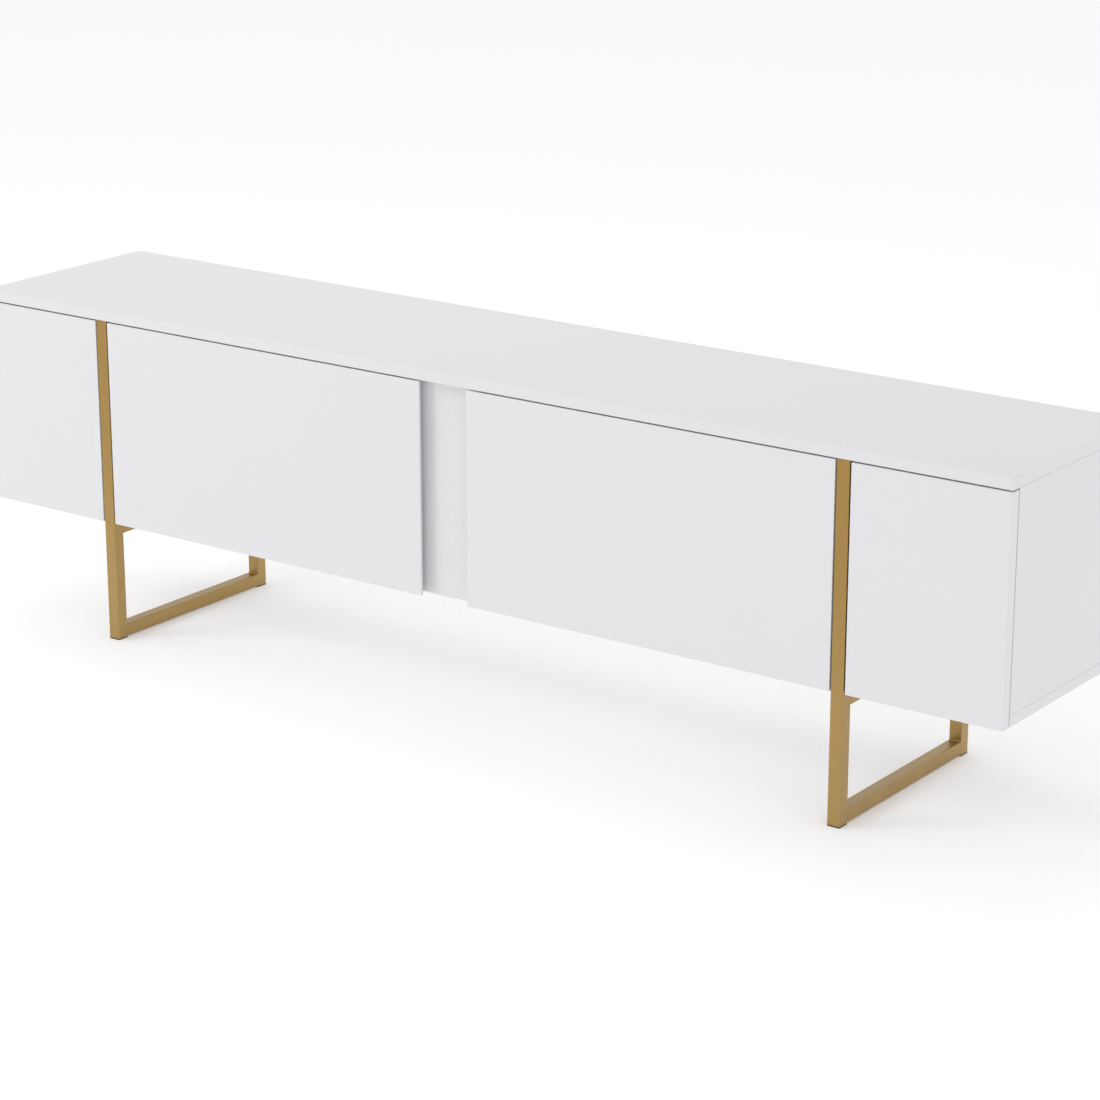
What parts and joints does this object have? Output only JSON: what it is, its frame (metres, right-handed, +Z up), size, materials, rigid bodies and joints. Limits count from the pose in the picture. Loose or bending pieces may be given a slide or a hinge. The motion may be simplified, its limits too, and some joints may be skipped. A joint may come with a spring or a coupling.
{
  "type": "tv stand with doors",
  "caption": "Low TV cabinet with hinged doors, a centre finger recess and two square-tube leg frames.",
  "frame": {"origin": "middle of the footprint, on the floor", "axes": "+X to the right seen from the front, +Y to the back, +Z up"},
  "size_m": [1.8, 0.35, 0.526],
  "materials": {
    "white_gloss": "high-gloss white film over particle board",
    "white_board": "satin white melamine film over particle board",
    "gold_metal": "satin gold powder coat on square steel tube",
    "back_board": "thin hardboard with a white lacquered face",
    "black_plastic": "moulded black plastic",
    "zinc_steel": "bright zinc plate",
    "nickel_steel": "nickel plate",
    "grey_plastic": "moulded light grey plastic",
    "clear_rubber": "soft translucent bumper",
    "dowel_wood": "fluted beech"
  },
  "bodies": {
    "carcass": {"back_nails": "zinc_steel", "back_sheet": "back_board", "bottom_board": "white_gloss", "cam_bolts": "zinc_steel", "cam_locks": "zinc_steel", "catch_bodies": "grey_plastic", "centre_divider": "white_board", "door_bumpers": "clear_rubber", "dowels": "dowel_wood", "foot_glides": "black_plastic", "hinge_arms": "nickel_steel", "hinge_links": "nickel_steel", "hinge_plate_screws": "zinc_steel", "hinge_plates": "nickel_steel", "left_frame_bottom_rail": "gold_metal", "left_frame_front_post": "gold_metal", "left_frame_rear_post": "gold_metal", "left_frame_top_rail": "gold_metal", "left_inner_divider": "white_board", "left_outer_divider": "white_board", "left_side_panel": "white_gloss", "rail_screws": "zinc_steel", "recess_fascia": "white_gloss", "right_frame_bottom_rail": "gold_metal", "right_frame_front_post": "gold_metal", "right_frame_rear_post": "gold_metal", "right_frame_top_rail": "gold_metal", "right_inner_divider": "white_board", "right_outer_divider": "white_board", "right_side_panel": "white_gloss", "top_board": "white_gloss"},
    "left_outer_door": {"left_outer_door": "white_gloss", "left_outer_hinge_cups": "nickel_steel", "left_outer_cup_screws": "zinc_steel", "left_strike_plate": "nickel_steel"},
    "left_inner_door": {"left_inner_door": "white_gloss", "left_inner_hinge_cups": "nickel_steel", "left_inner_cup_screws": "zinc_steel"},
    "left_plunger": {"left_catch_plunger": "grey_plastic"},
    "right_outer_door": {"right_outer_door": "white_gloss", "right_outer_hinge_cups": "nickel_steel", "right_outer_cup_screws": "zinc_steel", "right_strike_plate": "nickel_steel"},
    "right_inner_door": {"right_inner_door": "white_gloss", "right_inner_hinge_cups": "nickel_steel", "right_inner_cup_screws": "zinc_steel"},
    "right_plunger": {"right_catch_plunger": "grey_plastic"}
  },
  "joints": [
    {"name": "left_outer_door_swing", "type": "hinge", "parent": "carcass", "child": "left_outer_door", "pos_m": [-0.9, -0.175, 0.349], "axis": [0, 0, -1], "range_deg": [0, 95]},
    {"name": "left_inner_door_swing", "type": "hinge", "parent": "carcass", "child": "left_inner_door", "pos_m": [-0.642, -0.175, 0.349], "axis": [0, 0, -1], "range_deg": [0, 95]},
    {"name": "left_plunger_slide", "type": "slide", "parent": "carcass", "child": "left_plunger", "axis": [0, -1, 0], "range_m": [0, 0.014]},
    {"name": "right_outer_door_swing", "type": "hinge", "parent": "carcass", "child": "right_outer_door", "pos_m": [0.9, -0.175, 0.349], "axis": [0, 0, 1], "range_deg": [0, 95]},
    {"name": "right_inner_door_swing", "type": "hinge", "parent": "carcass", "child": "right_inner_door", "pos_m": [0.642, -0.175, 0.349], "axis": [0, 0, 1], "range_deg": [0, 95]},
    {"name": "right_plunger_slide", "type": "slide", "parent": "carcass", "child": "right_plunger", "axis": [0, -1, 0], "range_m": [0, 0.014]}
  ],
  "couplings": [
    {"joint": "left_plunger_slide", "follows": "left_outer_door_swing", "m_per_rad": 0.008},
    {"joint": "right_plunger_slide", "follows": "right_outer_door_swing", "m_per_rad": 0.008}
  ]
}
